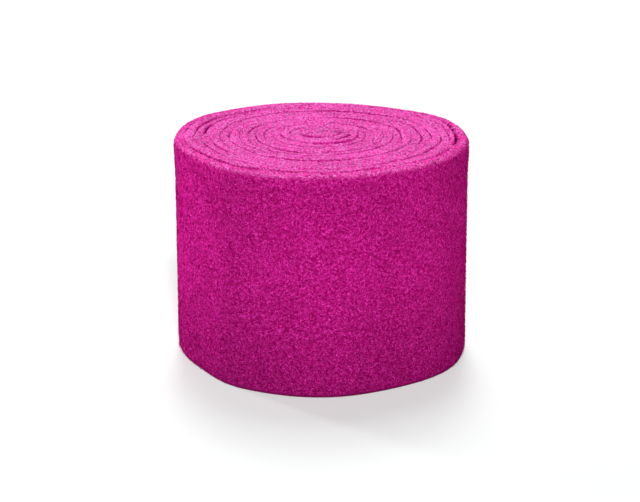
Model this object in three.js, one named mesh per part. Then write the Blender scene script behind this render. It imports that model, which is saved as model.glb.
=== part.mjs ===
import * as THREE from "three";
import { mergeGeometries, mergeVertices } from "three/addons/utils/BufferGeometryUtils.js";

// A roll of thick wool felt: one long band wound on itself with no core, standing on end.
// Millimetres, +Z up along the winding, origin in the middle of the foot.
// The wound form is one solid. Its two ends show the turns, and the outer end laps at the back.

// Driving sizes
const bandWidth = 150; // cut width of the felt, so the height of the standing roll
const bandLength = 5000; // felt in the winding
const rollRadius = 100.6; // mean radius over the outer turn
const pitch = (Math.PI * rollRadius ** 2) / bandLength; // from one turn to the next
const coreRadius = 2.6; // where the inner end starts to curl
const lapAzimuth = 70; // degrees from +X, where the outer end lies at the back

// The spiral as columns: a whole number to the turn, so each turn meets the next point for point
const columnsPerTurn = 40;
const turns = (rollRadius - coreRadius) / pitch - 0.5;
const columns = Math.round(turns * columnsPerTurn);

// A turn's cut edge across the felt: share of the pitch, and how far it lies under the crown
const topSection = [
  { across: 0.2, drop: 0.5 },
  { across: 0.5, drop: 0 },
  { across: 0.8, drop: 0.5 },
];
const footSection = [
  { across: 0.25, drop: 0 },
  { across: 0.5, drop: 0 },
  { across: 0.75, drop: 0 },
];
const topGroove = 2.0; // depth between two turns on the upper end
const footGroove = 1.5; // the same underneath, where the weight closes it
const rim = { topInset: 0.6, topDrop: 1.7, footInset: 1.9, footRise: 0.9 }; // soft outer corners

// The cut outer end is pressed thin against the turn inside it
const lap = { thinning: 0.45, run: 2 }; // share of the thickness, and columns until it is full again

// The outer face from top to foot: height over the foot and how far it stands out from the winding.
// The wall is waisted a little, and it draws in at the foot.
const wallRows = [
  { height: bandWidth - 3.6, out: 0.2 },
  { height: bandWidth - 8, out: 0 },
  { height: bandWidth - 24, out: -0.5 },
  { height: bandWidth * 0.62, out: -0.5 },
  { height: bandWidth * 0.38, out: -0.5 },
  { height: 24, out: -0.4 },
  { height: 9, out: -0.3 },
  { height: 5, out: -0.4 },
  { height: 2.6, out: -0.9 },
];

// How far the soft roll bulges from round, at the upper end and at the foot
const bulges = [
  { azimuth: 0, top: 2.5, foot: 3.5 },
  { azimuth: 30, top: 5, foot: 2 },
  { azimuth: 60, top: -2, foot: 1 },
  { azimuth: 90, top: -3.5, foot: 0 },
  { azimuth: 120, top: -2.5, foot: 0.5 },
  { azimuth: 150, top: 1.5, foot: 0 },
  { azimuth: 180, top: -1, foot: -0.5 },
  { azimuth: 210, top: -3, foot: -2 },
  { azimuth: 240, top: 2.5, foot: 4 },
  { azimuth: 270, top: 2, foot: 5.5 },
  { azimuth: 300, top: -2, foot: 2.5 },
  { azimuth: 330, top: 0.5, foot: 5 },
];

const fullTurn = 2 * Math.PI;

function bulgeAt(end, angle) {
  const place = ((angle / fullTurn) * bulges.length) % bulges.length;
  const row = Math.floor(place);
  const share = 0.5 - 0.5 * Math.cos(Math.PI * (place - row));
  const next = (row + 1) % bulges.length;
  return THREE.MathUtils.lerp(bulges[row][end], bulges[next][end], share);
}

// The angle of a column. The winding runs outwards clockwise, seen from above.
function angleOf(column) {
  const back = (((columns - column) % columnsPerTurn) + columnsPerTurn) % columnsPerTurn;
  const outerEnd = THREE.MathUtils.degToRad(lapAzimuth);
  return (outerEnd + (fullTurn * back) / columnsPerTurn) % fullTurn;
}

// A point at a number of turns from the core, pushed out of round as much as its height asks
function place(turn, angle, height, out = 0) {
  const radius = coreRadius + pitch * turn + out;
  const share = THREE.MathUtils.clamp(height / bandWidth, 0, 1);
  const bulge = THREE.MathUtils.lerp(bulgeAt("foot", angle), bulgeAt("top", angle), share);
  const fade = Math.min(radius / rollRadius, 1) ** 2;
  const bulged = radius + bulge * fade;
  return new THREE.Vector3(bulged * Math.cos(angle), bulged * Math.sin(angle), height);
}

// Turns slip past each other a little as the band is wound, and the middle stands proud
function slip(turn, angle) {
  const drift = 0.35 * Math.sin(2.3 * turn + 0.6) + 0.25 * Math.sin(1.1 * turn + angle);
  const middle = 0.9 * Math.exp(-((turn / 4) ** 2));
  return 0.7 + drift + middle;
}

// The share of its thickness that the band has lost at a column
function thinningAt(column) {
  const share = Math.max(0, 1 - (columns - column) / lap.run);
  return lap.thinning * share ** 2;
}

// Turns from the core to a line between two turns, or to the outer face once nothing lies outside it
function outerTurn(index) {
  const thinned = index > columns ? thinningAt(index - columnsPerTurn) : 0;
  return index / columnsPerTurn - thinned;
}

// The line between two turns, or the outer corner once the last turn has nothing outside it
function edgePoint(end, index) {
  const angle = angleOf(index);
  const outermost = index > columns;
  const turn = outerTurn(index);
  if (end === "foot") {
    const height = outermost ? rim.footRise : footGroove;
    return place(turn, angle, height, outermost ? -rim.footInset : 0);
  }
  const drop = outermost ? rim.topDrop : topGroove * (0.85 + 0.3 * Math.sin(3.1 * turn + 2 * angle));
  return place(turn, angle, bandWidth + slip(turn, angle) - drop, outermost ? -rim.topInset : 0);
}

// One column across the felt, from the groove inside it to the groove or corner outside it
function sectionOf(end, column) {
  const rows = end === "top" ? topSection : footSection;
  const angle = angleOf(column);
  const inner = rows.map(({ across, drop }) => {
    const turn = column / columnsPerTurn + across * (1 - thinningAt(column));
    const height = end === "top" ? bandWidth + slip(turn, angle) - drop : drop;
    return place(turn, angle, height);
  });
  return [edgePoint(end, column), ...inner, edgePoint(end, column + columnsPerTurn)];
}

// The outer face under one edge point, from the upper corner to the foot
function wallColumn(index) {
  const turn = outerTurn(index);
  const angle = angleOf(index);
  const rows = wallRows.map(({ height, out }) => place(turn, angle, height, out));
  return [edgePoint("top", index), ...rows, edgePoint("foot", index)];
}

// A grid of points as a face. It looks the way its rows cross its columns by the right hand.
function faceOf(grid) {
  const across = grid[0].length - 1;
  const face = new THREE.PlaneGeometry(1, 1, across, grid.length - 1);
  grid.flat().forEach((point, n) => face.attributes.position.setXYZ(n, point.x, point.y, point.z));
  return face;
}

function turnedEnd(end) {
  const grid = Array.from({ length: columns + 1 }, (_, column) => sectionOf(end, column));
  return faceOf(end === "foot" ? grid.map((row) => row.reverse()) : grid);
}

function outerFace() {
  const grid = Array.from({ length: columnsPerTurn + 1 }, (_, n) => wallColumn(columns + n));
  return faceOf(grid);
}

// The cut outer end of the band, where the last turn stops
function lapFace() {
  const inner = wallColumn(columns);
  const outer = wallColumn(columns + columnsPerTurn);
  const top = sectionOf("top", columns);
  const foot = sectionOf("foot", columns);
  const middle = inner.slice(1, -1).map((point, n) => {
    const share = (k) => k / (top.length - 1);
    return top.map((_, k) => point.clone().lerp(outer[n + 1], share(k)));
  });
  return faceOf([top, ...middle, foot]);
}

// The inner end curls shut in the eye of the spiral, as a small tip level with the turns around it
function eye(end) {
  const edges = Array.from({ length: columnsPerTurn + 1 }, (_, index) => edgePoint(end, index));
  const start = sectionOf(end, 0).slice(1, -1).reverse();
  const loop = [...edges, ...start];
  if (end === "top") loop.reverse();
  loop.push(loop[0]);
  const tipHeight = end === "top" ? bandWidth + slip(0, 0) : 0;
  const side = angleOf(0) + Math.PI / 2;
  const centre = new THREE.Vector3(Math.cos(side), Math.sin(side), tipHeight);
  const tip = loop.map((point) => point.clone().lerp(centre, 0.35).setZ(tipHeight));
  const cap = new THREE.CircleGeometry(1, loop.length - 1);
  [centre, ...tip].forEach((point, n) => cap.attributes.position.setXYZ(n, point.x, point.y, point.z));
  return mergeGeometries([faceOf([tip, loop]), cap]);
}

function woundRoll() {
  const faces = [turnedEnd("top"), turnedEnd("foot"), outerFace(), lapFace(), eye("top"), eye("foot")];
  const skin = mergeGeometries(faces);
  skin.deleteAttribute("normal");
  skin.deleteAttribute("uv");
  const roll = mergeVertices(skin, 1e-3);
  roll.computeBoundingBox();
  const { min, max } = roll.boundingBox;
  roll.translate(-(min.x + max.x) / 2, -(min.y + max.y) / 2, -min.z);
  roll.computeVertexNormals();
  return roll;
}

const feltMaterial = new THREE.MeshStandardMaterial({ color: 0xc2188a, roughness: 0.95, metalness: 0 });

const roll = new THREE.Mesh(woundRoll(), feltMaterial);
roll.name = "felt_roll";

const part = new THREE.Group();
part.add(roll);

export default part;
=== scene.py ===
import math
import random

import bpy
from mathutils import Matrix, Vector, noise


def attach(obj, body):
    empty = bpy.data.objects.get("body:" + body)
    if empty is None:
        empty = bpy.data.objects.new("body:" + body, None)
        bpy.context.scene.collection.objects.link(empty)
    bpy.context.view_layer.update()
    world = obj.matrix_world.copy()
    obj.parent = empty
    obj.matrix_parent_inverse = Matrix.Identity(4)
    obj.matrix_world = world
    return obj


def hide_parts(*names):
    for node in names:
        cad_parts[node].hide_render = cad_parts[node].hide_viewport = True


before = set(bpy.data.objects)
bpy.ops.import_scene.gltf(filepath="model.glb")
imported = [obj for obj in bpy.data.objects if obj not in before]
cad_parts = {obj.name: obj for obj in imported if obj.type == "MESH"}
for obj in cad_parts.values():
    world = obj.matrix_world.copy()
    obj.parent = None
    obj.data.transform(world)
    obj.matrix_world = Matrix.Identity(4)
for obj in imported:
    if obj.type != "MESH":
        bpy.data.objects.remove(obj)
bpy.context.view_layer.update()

# A roll of thick wool felt, standing on a pale studio floor.
# Lengths are in millimetres until a mesh is made, and angles are in degrees from +X.
mm = 0.001
fullTurn = 2 * math.pi
sliver = 1e-6  # of a turn, for rounding errors
photoWidth = 640  # in pixels

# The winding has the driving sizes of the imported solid
winding = {
    "bandWidth": 150,
    "bandLength": 5000,
    "rollRadius": 100.6,
    "coreRadius": 2.6,
    "lapAzimuth": 70,
    "columnsPerTurn": 40,
    "lapThinning": 0.85,  # share of the thickness that the outer end has lost
    "lapRun": 6 / 40,  # turns until it is full again
}
winding["pitch"] = math.pi * winding["rollRadius"] ** 2 / winding["bandLength"]
allTurns = (winding["rollRadius"] - winding["coreRadius"]) / winding["pitch"] - 0.5
winding["lastTurn"] = round(allTurns * winding["columnsPerTurn"]) / winding["columnsPerTurn"]

# How far the soft roll bulges from round every 30 degrees, at the upper end and at the foot
bulges = {
    "top": (2.5, 5, -2, -3.5, -2.5, 1.5, -1, -3, 2.5, 2, -2, 0.5),
    "foot": (3.5, 2, 1, 0, 0.5, 0, -0.5, -2, 4, 5.5, 2.5, 5),
}

# Where turns lie slack: how far they lie out from the even spiral, at a radius and an angle
slack = (
    {"radius": 93, "reach": 7, "angle": 262, "spread": 52, "shift": -4.2},
    {"radius": 89, "reach": 9, "angle": 140, "spread": 30, "shift": -1.2},
    {"radius": 93, "reach": 4, "angle": 5, "spread": 40, "shift": -2.2},
    {"radius": 24, "reach": 5, "angle": 300, "spread": 40, "shift": 1.6},
    {"radius": 101, "reach": 6, "angle": 95, "spread": 55, "shift": 1.4},
)

# How far the outer face stands out from the winding, by height over the foot
wallProfile = ((0.9, -0.8), (2.6, -0.5), (5, -0.4), (9, -0.3), (24, -0.4), (126, -0.5), (142, 0), (150, 0.2))

# The band's own detail
felt = {
    "gap": 0.08,  # between two turns, below their rounded edges
    "step": 1.6,  # along the band
    "longestStep": 1 / 36,  # in turns, near the eye
    "wallStep": 1.7,  # down the outer face
    "wallTurns": 1.02,  # the stretch of band whose outer face shows
    # The inner end is curled shut and fills the eye for one turn
    "eye": {
        "start": -0.91,  # the turn at which the felt begins, in the eye
        "fill": 0.25,  # how near the middle it reaches
        "hook": 0.12,  # turns over which it leaves the middle
        "wide": 1.3,  # the eye is drawn out from left to right
        "lean": 9,  # and leans back at the upper end
        "until": 56,  # radius where the winding is even again
    },
    # Uneven winding: how far the lines between turns wander, away from the eye and the rim
    "waver": {"size": 21, "depth": 1.5, "eyeFade": 12, "rimKeep": 4, "rimFade": 10},
    # Turns slip past each other as the band is wound: how far each edge stands up, by two waves along it
    "slips": {"mean": 0.7, "quick": 0.35, "quickPace": 2.3, "quickStart": 0.6, "slow": 0.25, "slowPace": 1.1},
    "proud": {"height": 0.9, "turns": 4},  # the middle stands up further
    "tight": (1.2, 0.75),  # rounding of a cut edge pressed to its neighbour: across and down
    "open": (2.6, 6.0),  # of one that stands free
    "rim": (4.4, 4.4),  # and of the outermost turn's outer corner
    "edgeDepth": 10,  # down from the crown, where the fine rows of the cut edge begin
    "footCorner": 0.7,
    "cutFade": 1.0,  # how far a rounded cut edge falls before it looks like the faces
    "grooveFade": 2.2,  # and from there to the darkest painted shade of a groove
    "rimFade": 3.4,  # the same on the soft outer corner, whose paleness is partly painted light
    "lumpWall": {"height": 0.16, "size": 2.6, "seed": 7},
    "lumpTop": {"height": 0.5, "size": 2.4, "seed": 5},
    "finerLumps": {"times": 2.3, "share": 0.6},
    "lumpSteps": (37, 53),  # through the noise from one seed to the next
    # How ragged the grooves are: noise that opens and closes them along the band
    "ragged": {
        "coarse": 0.45,
        "fine": 0.3,
        "finer": 3,  # times the coarse one's pace
        "around": 1.5,  # pace round the eye
        "perLine": 0.4,  # and how much quicker it is at each line further out
        "apart": 3.7,  # keeps two lines from being alike
        "least": -0.05,  # tighter than tight
        "ends": 8,  # degrees over which a groove opens, either side of its end
    },
}

# Stretches where two turns stand apart: the line between them, counted from the eye, and its open angles
openGrooves = (
    {"line": 14, "from": 200, "to": 300, "share": 1.0},
    {"line": 14, "from": 300, "to": 340, "share": 0.5},
    {"line": 14, "from": -14, "to": 30, "share": 1.0},
    {"line": 13, "from": 250, "to": 300, "share": 0.5},
    {"line": 13, "from": 118, "to": 156, "share": 0.7},
    {"line": 12, "from": 128, "to": 176, "share": 0.9},
    {"line": 12, "from": 296, "to": 338, "share": 0.4},
    {"line": 10, "from": 50, "to": 100, "share": 0.4},
    {"line": 9, "from": 240, "to": 290, "share": 0.4},
    {"line": 8, "from": 10, "to": 40, "share": 0.6},
    {"line": 8, "from": 200, "to": 262, "share": 0.5},
    {"line": 7, "from": 212, "to": 330, "share": 1.0},
    {"line": 7, "from": 44, "to": 84, "share": 1.0},
    {"line": 6, "from": 230, "to": 310, "share": 0.4},
    {"line": 4, "from": 8, "to": 43, "share": 0.9},
    {"line": 3, "from": 43, "to": 80, "share": 0.6},
    {"line": 3, "from": 262, "to": 320, "share": 1.0},
    {"line": 2, "from": 290, "to": 352, "share": 1.0},
    {"line": 1, "from": 188, "to": 276, "share": 1.0},
    {"line": 1, "from": -5, "to": 75, "share": 1.0},
)


def smooth(share):
    return 0.5 - 0.5 * math.cos(math.pi * min(max(share, 0), 1))


def apart(one, two):
    # degrees between two directions
    return abs((one - two + 180) % 360 - 180)


def bulgeAt(end, angle):
    rows = bulges[end]
    spot = (angle / fullTurn) % 1 * len(rows)
    row = int(spot)
    share = smooth(spot - row)
    return rows[row] * (1 - share) + rows[(row + 1) % len(rows)] * share


def wallOut(height):
    for (low, one), (high, two) in zip(wallProfile, wallProfile[1:]):
        if height <= high:
            share = min(max((height - low) / (high - low), 0), 1)
            return one + (two - one) * share
    return wallProfile[-1][1]


def angleOf(turn):
    # The winding runs outwards clockwise, seen from above
    lap = math.radians(winding["lapAzimuth"])
    return (lap + fullTurn * (winding["lastTurn"] - turn)) % fullTurn


def thinningAt(turn):
    share = max(0, 1 - (winding["lastTurn"] - turn) / winding["lapRun"])
    return winding["lapThinning"] * share**2


def place(turns, angle, height, out=0):
    # turns is counted from the core and may lie anywhere across the felt
    eye, waver = felt["eye"], felt["waver"]
    radius = winding["coreRadius"] + winding["pitch"] * turns + out
    share = min(max(height / winding["bandWidth"], 0), 1)
    bulge = bulgeAt("foot", angle) * (1 - share) + bulgeAt("top", angle) * share
    bulged = radius + bulge * min(radius / winding["rollRadius"], 1) ** 2
    for row in slack:
        across = (radius - row["radius"]) / row["reach"]
        around = apart(math.degrees(angle), row["angle"]) / row["spread"]
        bulged += row["shift"] * math.exp(-(across**2) - around**2)
    fromRim = winding["rollRadius"] - waver["rimKeep"] - radius
    inside = smooth(radius / waver["eyeFade"]) * smooth(fromRim / waver["rimFade"])
    if inside:
        at = Vector((radius * math.cos(angle), radius * math.sin(angle), 0)) / waver["size"]
        bulged += waver["depth"] * inside * noise.noise(at)
    near = max(0, 1 - radius / eye["until"]) ** 2
    x = bulged * math.cos(angle) * (1 + (eye["wide"] - 1) * near)
    y = bulged * math.sin(angle) + eye["lean"] * near * share
    return Vector((x, y, height))


def slip(turns, angle):
    slips, proud = felt["slips"], felt["proud"]
    quick = slips["quick"] * math.sin(slips["quickPace"] * turns + slips["quickStart"])
    slow = slips["slow"] * math.sin(slips["slowPace"] * turns + angle)
    middle = proud["height"] * math.exp(-((turns / proud["turns"]) ** 2))
    return slips["mean"] + (quick + slow) + middle


def lumpAt(at, lump):
    # Needled felt: how high it stands in its lumps and the finer ones on them
    finer = felt["finerLumps"]
    one, two = (at + Vector((0, 0, step * lump["seed"])) for step in felt["lumpSteps"])
    coarse = noise.noise(one / lump["size"])
    fine = noise.noise(two * finer["times"] / lump["size"])
    return lump["height"] * (coarse + finer["share"] * fine)


def cornerAt(turns, angle):
    # How far a cut edge is rounded across and down towards the line between two turns
    if turns > winding["lastTurn"] + sliver:
        return felt["rim"]
    ragged = felt["ragged"]
    line = math.floor(turns + sliver)
    found = -1 if line < 1 else 0  # the line in the eye stays shut
    for row in openGrooves:
        if row["line"] == line:
            middle, half = (row["from"] + row["to"]) / 2, (row["to"] - row["from"]) / 2
            past = half - apart(math.degrees(angle), middle)
            found = max(found, row["share"] * smooth((past + ragged["ends"]) / (2 * ragged["ends"])))
    turning = Vector((math.cos(angle), math.sin(angle), 0)) * (ragged["around"] + ragged["perLine"] * line)
    turning += Vector((0, 0, ragged["apart"] * line))
    uneven = ragged["coarse"] * noise.noise(turning) + ragged["fine"] * noise.noise(turning * ragged["finer"])
    free = min(max(found + uneven, ragged["least"]), 1)
    # Beside the thin outer end, the corner of the turn inside it is nearly the roll's own
    outermost = thinningAt(turns)
    corner = []
    for tight, loose, rim in zip(felt["tight"], felt["open"], felt["rim"]):
        inside = tight + (loose - tight) * free
        corner.append(inside + (rim - inside) * outermost)
    return corner


def fallAt(turn, angle, fromInner, fromOuter):
    # How far the cut edge of the turn that starts at a line is rounded off, by distances from its two faces
    fall = 0
    for line, near in ((turn, fromInner), (turn + 1, fromOuter)):
        wide, deep = cornerAt(line, angle)
        inCorner = min(max(0, 1 - near / wide), 1)
        fall = max(fall, deep * (1 - math.sqrt(1 - inCorner**2)))
    return fall


def cutShareAndGrooveShade(fall, onRim):
    # 1 on the crown of a cut edge, 0 where it is rounded off and looks like the faces, -1 in a deep groove,
    # where shade is painted
    if onRim:
        return 1 - smooth(fall / felt["rimFade"])
    if fall < felt["cutFade"]:
        return 1 - smooth(fall / felt["cutFade"])
    return -smooth((fall - felt["cutFade"]) / felt["grooveFade"])


def innerReach(turn):
    # How many turns in from its own line the felt reaches: in the eye, to the middle
    eye = felt["eye"]
    toMiddle = (eye["fill"] - winding["coreRadius"]) / winding["pitch"] - turn
    past = smooth((turn - eye["start"] - 1 + eye["hook"]) / eye["hook"])
    return toMiddle * (1 - past)


# A section's points: those of the cut edge, by their place across the felt, and how many come before them
topShares = (-1, -0.93, -0.8, -0.6, -0.3, 0, 0.3, 0.6, 0.8, 0.93, 1)
beforeCut = 5


def sectionAt(turn, wall):
    # The felt cut across at one place, as one closed loop: foot, inner face, cut edge, outer face
    angle = angleOf(turn)
    margin = felt["gap"] / 2 / winding["pitch"]
    inner, outer = margin, 1 - thinningAt(turn) - margin
    if turn < felt["eye"]["start"] + 1:
        inner += innerReach(turn)
    half = winding["pitch"] * (outer - inner) / 2
    crown = winding["bandWidth"] + slip(turn + 0.5, angle)
    corner = felt["footCorner"]
    points, cutsAndGrooveShade = [], []

    def add(share, height, out=0):
        # share runs from -1 at the inner face to 1 at the outer one
        across = inner + (outer - inner) * (0.5 + 0.5 * share)
        points.append(place(turn + across, angle, height, out))
        return points[-1]

    outerOut = wallOut(corner) if wall else 0
    add(1, corner, outerOut)
    add(1, 0, outerOut - corner)
    add(-1, 0, min(corner, half))
    add(-1, corner)
    add(-1, crown - felt["edgeDepth"])
    for share in topShares:
        fall = fallAt(turn, angle, (1 + share) * half, (1 - share) * half)
        cutsAndGrooveShade.append(cutShareAndGrooveShade(fall, wall and share > 0))
        point = add(share, crown - fall)
        point.z += lumpAt(Vector((point.x, point.y, 0)), felt["lumpTop"])
    if not wall:
        add(1, crown - felt["edgeDepth"])
        return points, cutsAndGrooveShade
    top = crown - felt["rim"][1]
    rows = round((top - corner) / felt["wallStep"])
    outward = Vector((math.cos(angle), math.sin(angle), 0))
    for row in range(1, rows):
        height = top + (corner - top) * row / rows
        at = add(1, height, wallOut(height))
        at += outward * lumpAt(at, felt["lumpWall"])
    return points, cutsAndGrooveShade


def meshOf(name, points, faces, layer=None, values=None):
    # a layer holds three values for each point
    mesh = bpy.data.meshes.new(name)
    mesh.from_pydata([tuple(point * mm) for point in points], [], faces)
    mesh.update()
    if layer:
        mesh.attributes.new(layer, "FLOAT_VECTOR", "POINT").data.foreach_set("vector", values)
    piece = bpy.data.objects.new(name, mesh)
    bpy.context.scene.collection.objects.link(piece)
    return piece


def turnsAlongBand():
    turns = [felt["eye"]["start"]]
    while turns[-1] < winding["lastTurn"]:
        radius = max(winding["coreRadius"] + winding["pitch"] * (turns[-1] + 0.5), 1)
        turns.append(turns[-1] + min(felt["step"] / (fullTurn * radius), felt["longestStep"]))
    turns[-1] = winding["lastTurn"]
    return turns


def buildBand():
    # flatPlace lays the felt out flat, in metres, and tells the cut edge from the faces and where groove
    # shade is painted
    points, faces, columns, flatPlace = [], [], [], []
    cutEdge = range(beforeCut, beforeCut + len(topShares))
    along = 0
    for turn in turnsAlongBand():
        section, cutsAndGrooveShade = sectionAt(turn, turn >= winding["lastTurn"] - felt["wallTurns"])
        if columns:
            along += (section[cutEdge[-1]] - points[columns[-1][cutEdge[-1]]]).length
        columns.append(list(range(len(points), len(points) + len(section))))
        points += section
        around = 0
        for n, point in enumerate(section):
            around += (point - section[n - 1]).length if n else 0
            flatPlace += [along * mm, around * mm, cutsAndGrooveShade[n - cutEdge[0]] if n in cutEdge else 0]
    shared = cutEdge[-1]  # the fine rows of the outer face start below it
    for one, two in zip(columns, columns[1:]):
        if len(one) == len(two):
            for n in range(len(one)):
                m = (n + 1) % len(one)
                faces.append((one[n], one[m], two[m], two[n]))
            continue
        for n in range(shared):
            faces.append((one[n], one[n + 1], two[n + 1], two[n]))
        # one tall face takes all the fine rows
        faces.append(tuple([*one[shared:], one[0], two[0], *two[: shared - 1 : -1]]))
    faces.append(tuple(reversed(columns[0])))
    faces.append(tuple(columns[-1]))
    band = meshOf("felt_band", points, faces, "flatPlace", flatPlace)
    band.data.polygons.foreach_set("use_smooth", [True] * len(band.data.polygons))
    return band


# Loose fibres: closed three-sided hairs that lie on the felt and lift off it a little
fibres = {
    "wall": {"count": 32000, "length": (1.6, 4.4), "thick": (0.19, 0.34), "lift": 0.4},
    "top": {"count": 22000, "length": (1, 2.6), "thick": (0.22, 0.42), "lift": 0.35},
    "bend": 0.9,
    "tipRise": (-1.5, 1),  # of the tip over the middle, as a share of the lift
    "rooted": 0.25,  # depth of a root in the felt
    "lowest": 0.5,  # over the floor
    "wallEnds": (1.5, 4),  # heights kept free, at the foot and under the rim
    "wallOut": 0.1,
    "rimShare": 0.3,  # of the top ones that grow near the rim
    "rimReach": 0.06,  # and how far in they start, as a share of the radius
    "rimTurns": 0.5,  # how far in the outer corner reaches
    "grooveShare": 0.2,  # of the tries that may end in a groove
    "crownFall": 0.5,  # and how rounded off the edge may be for the rest
    "steepest": 0.95,  # sine of the most that a fibre on the rim tips out
    "seed": 11,
}


def addHair(points, faces, path, thick):
    # path has the root, the middle and the tip
    first = len(points)
    along = (path[2] - path[0]).normalized()
    side = along.orthogonal().normalized()
    up = along.cross(side)
    points.append(path[0])
    for n in range(3):
        turn = fullTurn * n / 3
        points.append(path[1] + (side * math.cos(turn) + up * math.sin(turn)) * thick / 2)
    points.append(path[2])
    for n in range(3):
        m = (n + 1) % 3
        faces.append((first, first + 1 + m, first + 1 + n))
        faces.append((first + 4, first + 1 + n, first + 1 + m))


def hairsOf(name, values, rng, rootOf):
    # rootOf gives a place on the felt, the two directions along it, the one off it, and how much it is cut.
    # The strand layer keeps a number of the hair's own, and that cut.
    points, faces, tones = [], [], []
    for _ in range(values["count"]):
        root, one, two, off, cut = rootOf(rng)
        heading = rng.uniform(0, fullTurn)
        bent = heading + rng.uniform(-1, 1) * fibres["bend"]
        half = rng.uniform(*values["length"]) / 2
        lift = values["lift"] * rng.random()
        middle = root + (one * math.cos(heading) + two * math.sin(heading)) * half + off * lift
        rise = lift * rng.uniform(*fibres["tipRise"])
        tip = middle + (one * math.cos(bent) + two * math.sin(bent)) * half + off * rise
        path = [root - off * fibres["rooted"], middle, tip]
        for at in path:
            at.z = max(at.z, fibres["lowest"])
        addHair(points, faces, path, rng.uniform(*values["thick"]))
        tones += [rng.random(), cut, 0] * 5
    return meshOf(name, points, faces, "strand", tones)


def wallRoot(rng):
    # Anywhere on the outer face: the last turn all the way round from the lap
    low, high = fibres["wallEnds"]
    angle = rng.uniform(0, fullTurn)
    height = rng.uniform(low, winding["bandWidth"] - high)
    past = (math.radians(winding["lapAzimuth"]) - angle) / fullTurn % 1
    turn = winding["lastTurn"] - 1 + past
    root = place(turn + 1 - thinningAt(turn), angle, height, wallOut(height) + fibres["wallOut"])
    off = Vector((math.cos(angle), math.sin(angle), 0))
    return root, Vector((-off.y, off.x, 0)), Vector((0, 0, 1)), off, 0


def topRoot(rng):
    # Anywhere on the upper cut edges, most often on their crowns and near the rim
    angle = rng.uniform(0, fullTurn)
    past = (math.radians(winding["lapAzimuth"]) - angle) / fullTurn % 1
    outerLine = winding["lastTurn"] + past
    outermost = outerLine - thinningAt(outerLine - 1)
    pitch = winding["pitch"]
    fall, onRim = math.inf, True
    while fall > (felt["rim"][1] if onRim or rng.random() < fibres["grooveShare"] else fibres["crownFall"]):
        nearRim = rng.random() < fibres["rimShare"]
        share = 1 - fibres["rimReach"] * rng.random() if nearRim else math.sqrt(rng.random())
        turns = outermost * share
        across = (turns - outerLine) % 1
        turnsIn = outermost - turns
        onRim = turnsIn < fibres["rimTurns"]
        fall = fallAt(turns - across, angle, across * pitch, min(1 - across, turnsIn) * pitch)
    height = winding["bandWidth"] + slip(turns - across + 0.5, angle) - fall
    inCorner = max(0, 1 - turnsIn * pitch / felt["rim"][0])
    tilt = math.asin(min(inCorner, fibres["steepest"]))
    out = Vector((math.cos(angle), math.sin(angle), 0))
    off = out * math.sin(tilt) + Vector((0, 0, math.cos(tilt)))
    side = Vector((-out.y, out.x, 0))
    return place(turns, angle, height), side, off.cross(side), off, max(cutShareAndGrooveShade(fall, onRim), 0)


def centreOnOrigin(pieces):
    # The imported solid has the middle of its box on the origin, and the dressed roll lies on it
    middle = Vector((0, 0, 0))
    for axis in (0, 1):
        across = [vertex.co[axis] for vertex in pieces[0].data.vertices]
        middle[axis] = (min(across) + max(across)) / 2
    for piece in pieces:
        piece.data.transform(Matrix.Translation(-middle))
    return -middle


# Finish: colours are linear. The cut edge is paler than the faces: partly its own colour, partly painted
# light for the top lit from above.
wool = {
    "face": {
        "deep": (0.175, 0.0001, 0.053),
        "body": (0.382, 0.0001, 0.132),
        "light": (0.94, 0.048, 0.52),
    },
    "cut": {
        "deep": (0.16, 0.0006, 0.048),
        "body": (0.98, 0.043, 0.475),
        "light": (1.0, 0.4, 0.96),
    },
    # Noise scales are to the metre
    "clouds": {"scale": 34, "ramp": (0.3, 0.7), "depth": (-2.2, 1)},  # the paler and darker patches
    "strokes": {"scale": (380, 1700, 1), "headings": (12, 57, 104, 149), "curl": 0.4, "ramp": (0.56, 0.74)},
    "grain": {"scale": 1500, "detail": 3, "roughness": 0.6, "distortion": 0.6},
    "pits": (0.56, 0.44),  # where the grain turns from open to dark
    "paintedGrooveShade": 0.5,  # painted shade: how far a deep groove goes from the deep tone to black
    "strandTones": {"dark": (0.1, 0.45), "light": (0.68, 0.95)},  # by a hair's own number
    "grainBump": {"Strength": 0.9, "Distance": 0.0005},
    "strokeBump": {"Strength": 0.7, "Distance": 0.0004},
    "paintedFootShade": 0.68,  # painted shade: tone at the foot, where the lower wall gets less light
    "footReach": 0.075,  # height in metres above which the tone is even
}


def newMaterial(name):
    material = bpy.data.materials.new(name)
    material.use_nodes = True
    return material, material.node_tree, material.node_tree.nodes["Principled BSDF"]


def addNode(tree, kind, inputs=None, **settings):
    node = tree.nodes.new(kind)
    for key, value in settings.items():
        setattr(node, key, value)
    for key, value in (inputs or {}).items():
        socket = node.inputs[key]
        if isinstance(value, bpy.types.NodeSocket):
            tree.links.new(value, socket)
        else:
            socket.default_value = value
    return node


def noiseAt(tree, vector, scale, detail=2, roughness=0.5, distortion=0):
    inputs = {"Vector": vector, "Scale": scale, "Detail": detail}
    inputs.update({"Roughness": roughness, "Distortion": distortion})
    return addNode(tree, "ShaderNodeTexNoise", inputs).outputs["Fac"]


def between(tree, value, low, high):
    inputs = {"Value": value, "From Min": low, "From Max": high}
    return addNode(tree, "ShaderNodeMapRange", inputs).outputs["Result"]


def mathOf(tree, operation, one, two):
    return addNode(tree, "ShaderNodeMath", {0: one, 1: two}, operation=operation).outputs[0]


def mixOf(tree, share, one, two):
    inputs = {0: share}
    for key, value in ((6, one), (7, two)):
        inputs[key] = (*value, 1) if isinstance(value, tuple) else value
    return addNode(tree, "ShaderNodeMix", inputs, data_type="RGBA").outputs[2]


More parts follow.
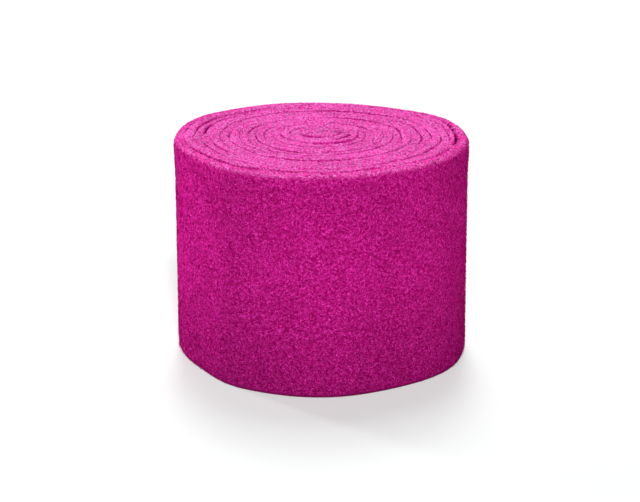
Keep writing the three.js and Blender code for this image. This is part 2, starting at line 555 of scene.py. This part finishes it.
def strokesIn(tree, vector):
    # Short fibres lying every way in the felt: noise drawn out along several headings
    found, values = None, wool["strokes"]
    for number, heading in enumerate(values["headings"]):
        turning = {"Vector": vector, "Rotation": (0, 0, math.radians(heading)), "Location": (number, 0, 0)}
        turned = addNode(tree, "ShaderNodeMapping", turning).outputs["Vector"]
        drawing = {"Vector": turned, "Scale": values["scale"]}
        drawn = addNode(tree, "ShaderNodeMapping", drawing).outputs["Vector"]
        strokes = between(tree, noiseAt(tree, drawn, 1, distortion=values["curl"]), *values["ramp"])
        found = strokes if found is None else mathOf(tree, "MAXIMUM", found, strokes)
    return found


def cloudsIn(tree):
    # Places on the roll, and how pale its patches are there
    values = wool["clouds"]
    solid = addNode(tree, "ShaderNodeTexCoord").outputs["Object"]
    patches = between(tree, noiseAt(tree, solid, values["scale"]), *values["ramp"])
    return solid, between(tree, patches, *values["depth"])


def tonesIn(tree, cut):
    # The tones of the faces where cut is 0, and of the cut edge where it is 1
    return {tone: mixOf(tree, cut, wool["face"][tone], wool["cut"][tone]) for tone in wool["face"]}


def shadeFootAndDull(tree, solid, colour, shader):
    # Painted shade: darker towards the foot; and dull all over
    height = addNode(tree, "ShaderNodeSeparateXYZ", {0: solid}).outputs["Z"]
    share = mathOf(tree, "SUBTRACT", 1, between(tree, height, 0, wool["footReach"]))
    footShadeTone = tuple(wool["paintedFootShade"] for _ in range(3))
    tone = mixOf(tree, share, (1.0, 1.0, 1.0), footShadeTone)
    shaded = {0: 1, 6: colour, 7: tone}
    toned = addNode(tree, "ShaderNodeMix", shaded, data_type="RGBA", blend_type="MULTIPLY").outputs[2]
    tree.links.new(toned, shader.inputs["Base Color"])
    shader.inputs["Roughness"].default_value = 1
    shader.inputs["Specular IOR Level"].default_value = 0


def feltMaterial():
    material, tree, shader = newMaterial("needled wool felt")
    solid, clouds = cloudsIn(tree)
    flat = addNode(tree, "ShaderNodeAttribute", attribute_name="flatPlace").outputs["Vector"]
    # cut is 1 on the cut edge, 0 on the faces, and below 0 where groove shade is painted
    cut = addNode(tree, "ShaderNodeSeparateXYZ", {0: flat}).outputs["Z"]
    grain = noiseAt(tree, solid, **wool["grain"])
    strokes = strokesIn(tree, flat)
    tones = tonesIn(tree, cut)
    ground = mixOf(tree, clouds, tones["deep"], tones["body"])
    pitted = mixOf(tree, between(tree, grain, *wool["pits"]), ground, tones["deep"])
    combed = mixOf(tree, strokes, pitted, tones["light"])
    # Painted shade in the deep grooves, towards black
    grooveShade = mixOf(tree, wool["paintedGrooveShade"], tones["deep"], (0.0, 0.0, 0.0))
    colour = mixOf(tree, between(tree, cut, 0, -1), combed, grooveShade)
    shadeFootAndDull(tree, solid, colour, shader)
    coarse = addNode(tree, "ShaderNodeBump", {"Height": grain, **wool["grainBump"]})
    fine = {"Height": strokes, "Normal": coarse.outputs["Normal"], **wool["strokeBump"]}
    tree.links.new(addNode(tree, "ShaderNodeBump", fine).outputs["Normal"], shader.inputs["Normal"])
    return material


def strandMaterial():
    material, tree, shader = newMaterial("loose wool fibre")
    solid, clouds = cloudsIn(tree)
    strand = addNode(tree, "ShaderNodeAttribute", attribute_name="strand").outputs["Vector"]
    parts = addNode(tree, "ShaderNodeSeparateXYZ", {0: strand}).outputs
    tones = tonesIn(tree, parts["Y"])
    own = mathOf(tree, "MULTIPLY", parts["X"], clouds)
    darker = mixOf(tree, between(tree, own, *wool["strandTones"]["dark"]), tones["deep"], tones["body"])
    colour = mixOf(tree, between(tree, own, *wool["strandTones"]["light"]), darker, tones["light"])
    shadeFootAndDull(tree, solid, colour, shader)
    return material


def dress(piece, material):
    piece.data.materials.append(material)
    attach(piece, "root")
    triangles = sum(len(face.vertices) - 2 for face in piece.data.polygons)
    print("made", piece.name, "with", triangles, "triangles")


rng = random.Random(fibres["seed"])
band = buildBand()
wallFibres = hairsOf("wall_fibres", fibres["wall"], rng, wallRoot)
topFibres = hairsOf("top_fibres", fibres["top"], rng, topRoot)
shift = centreOnOrigin([band, wallFibres, topFibres])
strand = strandMaterial()
dress(band, feltMaterial())
dress(wallFibres, strand)
dress(topFibres, strand)
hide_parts("felt_roll")

# Studio: a pale floor, broad soft lights, and a sky that the camera sees as white.
# The light behind, at several heights, draws the soft shadow in front.
studio = {"floorSize": 9.0, "floor": (0.647, 0.673, 0.662), "sky": 0.08, "skySeen": 1.0}
lights = {
    "key": {"azimuths": (-86,), "elevations": (42,), "strength": 4.2, "spread": 14},
    "behind": {"azimuths": (86, 94), "elevations": (49, 59, 71), "strength": 0.34, "spread": 12},
    "side": {"azimuths": (140,), "elevations": (3,), "strength": 6.6, "spread": 8},
}


def buildFloor():
    half = studio["floorSize"] / 2 / mm
    corners = [Vector((x * half, y * half, 0)) for x, y in ((-1, -1), (1, -1), (1, 1), (-1, 1))]
    floor = meshOf("floor", corners, [(0, 1, 2, 3)])
    material, _, shader = newMaterial("studio floor")
    shader.inputs["Base Color"].default_value = (*studio["floor"], 1)
    shader.inputs["Roughness"].default_value = 1
    shader.inputs["Specular IOR Level"].default_value = 0
    floor.data.materials.append(material)


def buildLight(name, azimuth, elevation, strength, spread):
    lamp = bpy.data.lights.new(name, "SUN")
    lamp.energy = strength
    lamp.angle = math.radians(spread)
    holder = bpy.data.objects.new(name, lamp)
    level = math.cos(math.radians(elevation))
    side = math.radians(azimuth)
    source = Vector((math.cos(side) * level, math.sin(side) * level, math.sin(math.radians(elevation))))
    holder.rotation_euler = source.to_track_quat("Z", "Y").to_euler()
    holder.location = source * 2  # a sun lights alike from anywhere
    bpy.context.scene.collection.objects.link(holder)


def buildLights():
    for name, values in lights.items():
        for azimuth in values["azimuths"]:
            for elevation in values["elevations"]:
                buildLight(name, azimuth, elevation, values["strength"], values["spread"])


def buildSky():
    world = bpy.data.worlds.new("studio")
    world.use_nodes = True
    tree = world.node_tree
    lit = tree.nodes["Background"]
    lit.inputs["Color"].default_value = (1, 1, 1, 1)
    lit.inputs["Strength"].default_value = studio["sky"]
    seen = addNode(tree, "ShaderNodeBackground", {"Color": (1, 1, 1, 1), "Strength": studio["skySeen"]})
    ray = addNode(tree, "ShaderNodeLightPath").outputs["Is Camera Ray"]
    mix = addNode(tree, "ShaderNodeMixShader", {0: ray, 1: lit.outputs[0], 2: seen.outputs[0]})
    tree.links.new(mix.outputs[0], tree.nodes["World Output"].inputs["Surface"])
    bpy.context.scene.world = world


# The camera stands where the photograph's did, measured from the middle of the winding
view = {
    "place": (-1.0, -1175.7, 462.1),
    "pitch": 18.56,  # degrees down
    "focal": 1772.7,  # in the photograph's pixels
    "sensor": 36,
}


def buildCamera():
    lens = bpy.data.cameras.new("camera")
    lens.sensor_width = view["sensor"]
    lens.lens = lens.sensor_width * view["focal"] / photoWidth
    camera = bpy.data.objects.new("camera", lens)
    camera.location = Vector(view["place"]) * mm + shift
    camera.rotation_euler = (math.radians(90 - view["pitch"]), 0, 0)
    bpy.context.scene.collection.objects.link(camera)
    bpy.context.scene.camera = camera


buildFloor()
buildLights()
buildSky()
buildCamera()
bpy.context.scene.view_settings.view_transform = "Standard"
print("studio ready")
